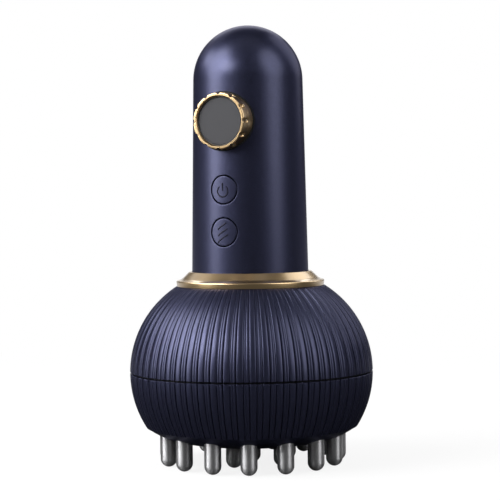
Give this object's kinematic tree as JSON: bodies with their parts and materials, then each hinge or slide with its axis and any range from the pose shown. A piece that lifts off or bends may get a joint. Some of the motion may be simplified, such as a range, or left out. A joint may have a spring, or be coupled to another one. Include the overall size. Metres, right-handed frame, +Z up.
{
  "type": "electric gua sha massager",
  "caption": "Handheld vibrating scraping massager: domed handle with a rotary dial and round keys above a fluted ball head on heated stone pins.",
  "frame": {"origin": "on the plane of the pin tips, on the axis of head and handle", "axes": "+Z up along the axis of head and handle; the dial and the keys face -Y, the charging socket +Y"},
  "size_m": [0.096, 0.096, 0.1726],
  "materials": {
    "navy_plastic": "satin pearl-lacquered ABS",
    "gold_plating": "satin champagne-gold electroplating on ABS",
    "black_rubber": "moulded silicone",
    "grey_stone": "polished opaque grey stone",
    "aluminium": "mill-finished sheet",
    "amber_film": "laminated polyimide film",
    "black_plastic": "moulded",
    "steel": "zinc-plated",
    "smoked_window": "smoked acrylic",
    "green_board": "solder-resist on glass epoxy",
    "grey_plastic": "glass-filled nylon, moulded",
    "blue_wrap": "shrink wrap on a steel can",
    "motor_steel": "nickel-plated"
  },
  "bodies": {
    "housing": {"handle_shell": "navy_plastic", "neck_ring": "gold_plating", "upper_head_shell": "navy_plastic", "lower_head_shell": "navy_plastic", "seam_gasket": "black_rubber", "pin_plate": "navy_plastic", "outer_pins": "grey_stone", "inner_pins": "grey_stone", "centre_pin": "grey_stone", "heat_spreader": "aluminium", "heater_film": "amber_film", "thermostat": "black_plastic", "spreader_screws": "steel", "shell_screws": "steel", "handle_screws": "steel", "dial_collar": "gold_plating", "dial_seat": "black_plastic", "dial_clip": "steel", "display_lens": "smoked_window", "display_module": "black_plastic", "switch_cases": "black_plastic", "control_board": "green_board", "board_chips": "black_plastic", "board_screws": "steel", "inner_frame": "grey_plastic", "battery_cell": "blue_wrap", "cell_tabs": "steel", "charge_board": "green_board", "charge_socket": "steel", "socket_tongue": "black_plastic", "motor_cradle": "grey_plastic", "motor_can": "motor_steel", "motor_cap": "black_plastic", "motor_terminals": "steel", "motor_screws": "steel"},
    "dial": {"dial_ring": "gold_plating", "dial_magnets": "steel"},
    "power_button": {"power_key": "navy_plastic", "power_plunger": "steel"},
    "mode_button": {"mode_key": "navy_plastic", "mode_plunger": "steel"},
    "rotor": {"motor_shaft": "steel", "eccentric_weight": "motor_steel"}
  },
  "joints": [
    {"name": "dial_turn", "type": "hinge", "parent": "housing", "child": "dial", "pos_m": [0, -0.022, 0.1343], "axis": [0, -1, 0], "continuous": true},
    {"name": "power_press", "type": "slide", "parent": "housing", "child": "power_button", "axis": [0, 1, 0], "range_m": [0, 0.0005], "stiffness_N_per_m": 500, "springref_m": -0.002},
    {"name": "mode_press", "type": "slide", "parent": "housing", "child": "mode_button", "axis": [0, 1, 0], "range_m": [0, 0.0005], "stiffness_N_per_m": 500, "springref_m": -0.002},
    {"name": "motor_spin", "type": "hinge", "parent": "housing", "child": "rotor", "pos_m": [0, 0, 0.03], "axis": [0, 0, 1], "continuous": true}
  ]
}
